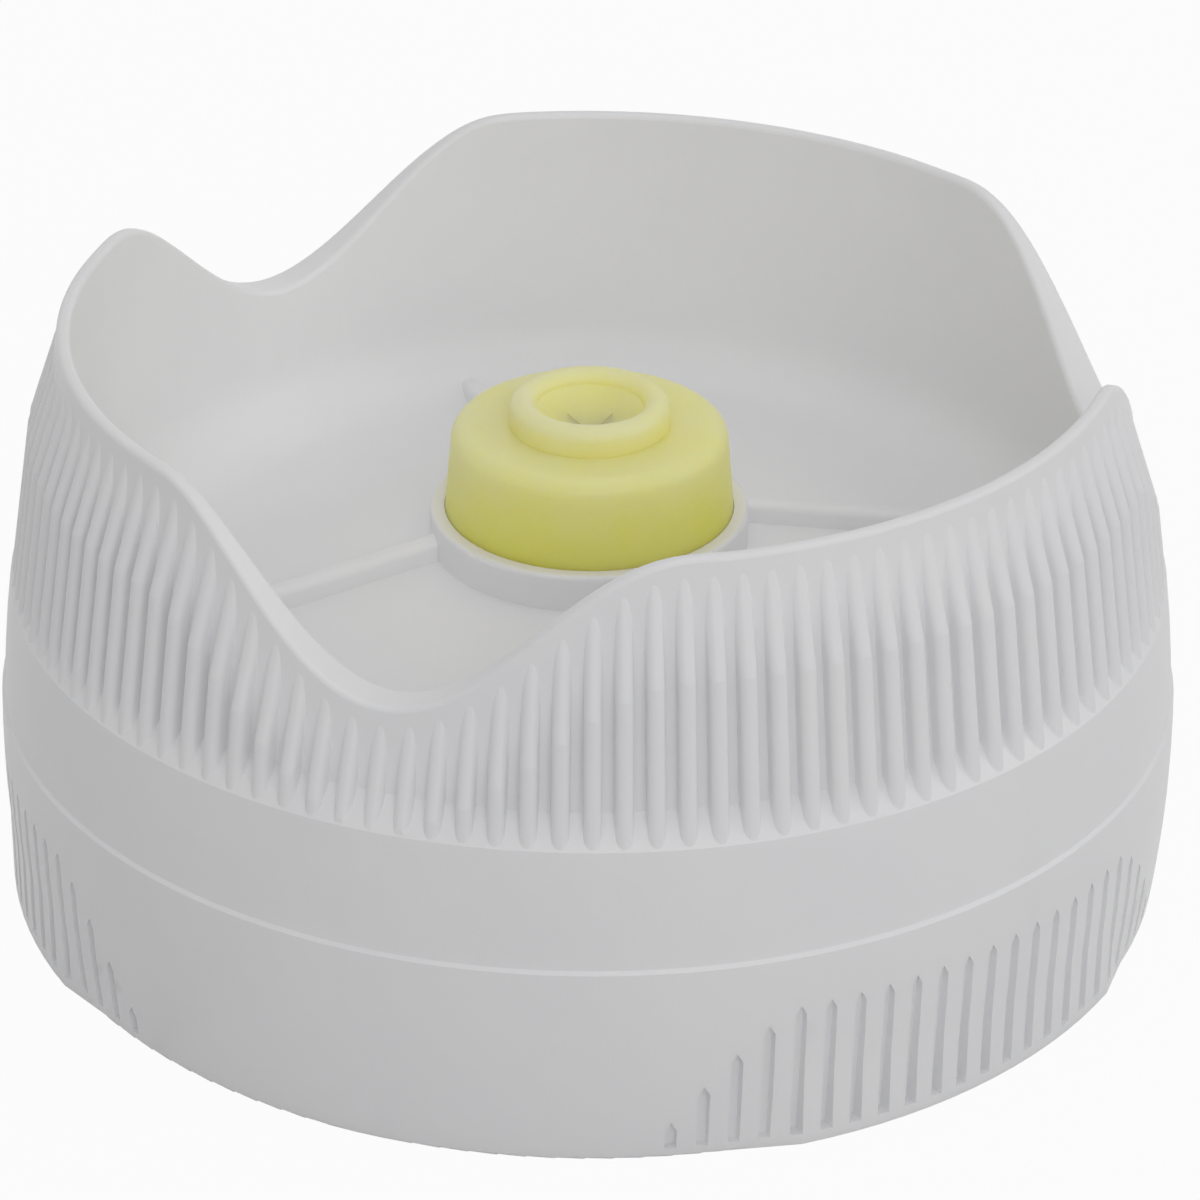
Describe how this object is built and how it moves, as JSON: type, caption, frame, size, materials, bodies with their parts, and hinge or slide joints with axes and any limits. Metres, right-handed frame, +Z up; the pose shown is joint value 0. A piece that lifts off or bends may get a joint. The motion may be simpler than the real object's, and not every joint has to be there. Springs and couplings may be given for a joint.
{
  "type": "dispensing closure",
  "caption": "Round ribbed screw closure with a wavy lobed crown and a soft yellow nozzle insert in the middle of its deck.",
  "frame": {"origin": "on the closure's axis, in the plane of the skirt's foot", "axes": "+Z up along the axis from the bottle towards the crown; the first dip of the rim is 10 degrees from +X towards +Y, and the other dips follow at equal turns"},
  "size_m": [0.041, 0.041, 0.0205],
  "materials": {
    "cap_plastic": "satin white polypropylene",
    "insert_elastomer": "translucent yellow elastomer, satin"
  },
  "bodies": {
    "root": {"cap_body": "cap_plastic", "nozzle_insert": "insert_elastomer"}
  },
  "joints": []
}
